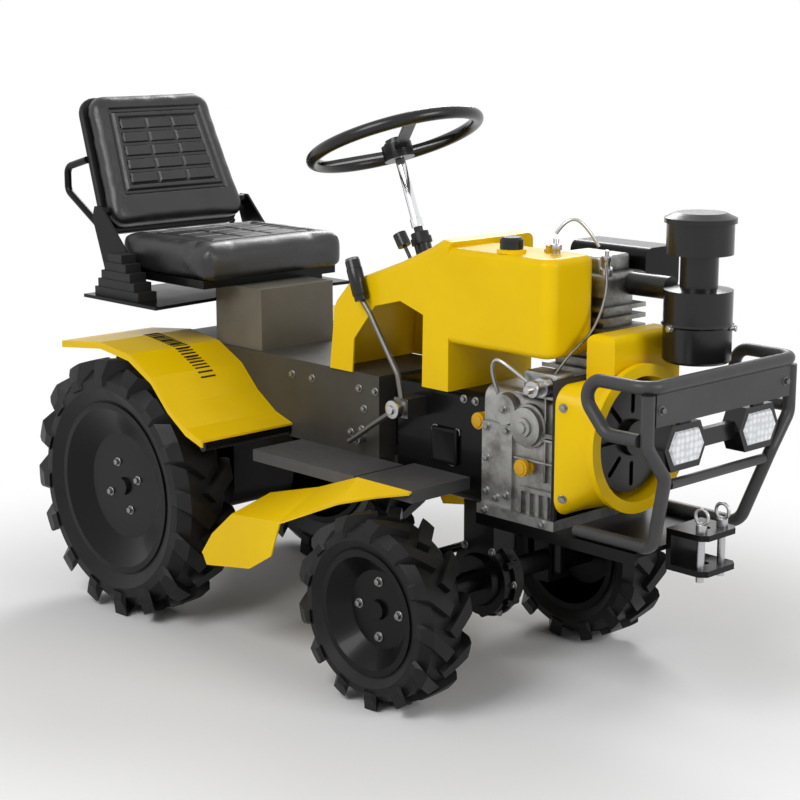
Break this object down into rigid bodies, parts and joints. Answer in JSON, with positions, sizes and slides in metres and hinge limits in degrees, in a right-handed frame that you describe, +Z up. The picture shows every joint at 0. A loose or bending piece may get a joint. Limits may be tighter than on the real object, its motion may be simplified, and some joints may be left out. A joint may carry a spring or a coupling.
{
  "type": "ride-on power tiller",
  "caption": "Ride-on power tiller with an open air-cooled diesel in front, dished lugged wheels, steering wheel, padded seat, fenders and tubular bumper.",
  "frame": {"origin": "on the ground, under the middle of the overall box", "axes": "+X forward, +Y to the machine's left, +Z up"},
  "size_m": [1.92, 0.79, 1.2269],
  "materials": {
    "yellow_paint": "gloss",
    "tyre_rubber": "satin",
    "black_paint": "gloss",
    "charcoal_paint": "satin",
    "grey_paint": "satin",
    "cast_alloy": "cast",
    "black_plastic": "gloss",
    "seat_vinyl": "grained",
    "lamp_glass": "clear",
    "bright_steel": "bright"
  },
  "bodies": {
    "chassis": {"air_cleaner": "black_plastic", "body_cowl": "yellow_paint", "bumper_crossbar": "charcoal_paint", "bumper_hoop": "charcoal_paint", "bumper_leg_left": "charcoal_paint", "bumper_leg_right": "charcoal_paint", "bumper_plate": "charcoal_paint", "chassis_frame": "grey_paint", "crankcase": "cast_alloy", "cylinder": "cast_alloy", "engine_base": "black_paint", "engine_shroud": "yellow_paint", "fender_stays": "black_paint", "footboard_left": "grey_paint", "footboard_right": "grey_paint", "front_axle": "black_paint", "front_hitch": "black_paint", "front_mudguard_left": "yellow_paint", "front_mudguard_right": "yellow_paint", "fuel_cap": "black_plastic", "fuel_tank": "yellow_paint", "gear_lever": "black_plastic", "gearbox_case": "black_paint", "grab_rail": "black_paint", "hitch_pins": "bright_steel", "intake_pipe": "cast_alloy", "lamp_bar": "black_plastic", "lamp_lenses": "lamp_glass", "muffler": "black_paint", "rear_axle_housing": "black_paint", "rear_drawbar": "black_paint", "rear_fender_left": "yellow_paint", "rear_fender_right": "yellow_paint", "recoil_starter": "black_plastic", "seat_backrest": "seat_vinyl", "seat_cushion": "seat_vinyl", "seat_deck": "black_paint", "seat_frame": "black_paint", "seat_pedestal": "grey_paint", "seat_support_left": "black_plastic", "seat_support_right": "black_plastic", "steering_column": "black_plastic", "throttle_lever": "black_plastic"},
    "steering": {"steering_wheel": "black_plastic"},
    "right_knuckle": {"knuckle_right": "black_paint"},
    "left_knuckle": {"knuckle_left": "black_paint"},
    "drop_link": {"drop_arm": "black_paint"},
    "track_rod": {"tie_rod": "black_paint"},
    "rear_right_wheel": {"tyre_rear_right": "tyre_rubber", "wheel_rear_right": "black_paint"},
    "rear_left_wheel": {"tyre_rear_left": "tyre_rubber", "wheel_rear_left": "black_paint"},
    "front_right_wheel": {"tyre_front_right": "tyre_rubber", "wheel_front_right": "black_paint"},
    "front_left_wheel": {"tyre_front_left": "tyre_rubber", "wheel_front_left": "black_paint"}
  },
  "joints": [
    {"name": "steering_turn", "type": "hinge", "parent": "chassis", "child": "steering", "pos_m": [0.035, 0, 1.144], "axis": [-0.3666, 0, 0.9304], "range_deg": [-400, 400]},
    {"name": "steer_right", "type": "hinge", "parent": "chassis", "child": "right_knuckle", "pos_m": [0.33, -0.226, 0.206], "axis": [0, 0, 1], "range_deg": [-20, 20]},
    {"name": "steer_left", "type": "hinge", "parent": "chassis", "child": "left_knuckle", "pos_m": [0.33, 0.226, 0.206], "axis": [0, 0, 1], "range_deg": [-20, 20]},
    {"name": "drop_turn", "type": "hinge", "parent": "chassis", "child": "drop_link", "pos_m": [0.33, 0.072, 0.262], "axis": [0, 0, 1], "range_deg": [-20, 20]},
    {"name": "rod_swing", "type": "hinge", "parent": "right_knuckle", "child": "track_rod", "pos_m": [0.22, -0.226, 0.246], "axis": [0, 0, 1], "range_deg": [-20, 20]},
    {"name": "spin_rear_right", "type": "hinge", "parent": "chassis", "child": "rear_right_wheel", "pos_m": [-0.54, -0.32, 0.31], "axis": [0, 1, 0], "continuous": true},
    {"name": "spin_rear_left", "type": "hinge", "parent": "chassis", "child": "rear_left_wheel", "pos_m": [-0.54, 0.32, 0.31], "axis": [0, 1, 0], "continuous": true},
    {"name": "spin_front_right", "type": "hinge", "parent": "right_knuckle", "child": "front_right_wheel", "pos_m": [0.33, -0.316, 0.206], "axis": [0, 1, 0], "continuous": true},
    {"name": "spin_front_left", "type": "hinge", "parent": "left_knuckle", "child": "front_left_wheel", "pos_m": [0.33, 0.316, 0.206], "axis": [0, 1, 0], "continuous": true}
  ],
  "couplings": [
    {"joint": "steer_right", "follows": "steering_turn", "ratio": 0.05},
    {"joint": "steer_left", "follows": "steering_turn", "ratio": 0.05},
    {"joint": "drop_turn", "follows": "steering_turn", "ratio": 0.05},
    {"joint": "rod_swing", "follows": "steering_turn", "ratio": -0.05}
  ]
}
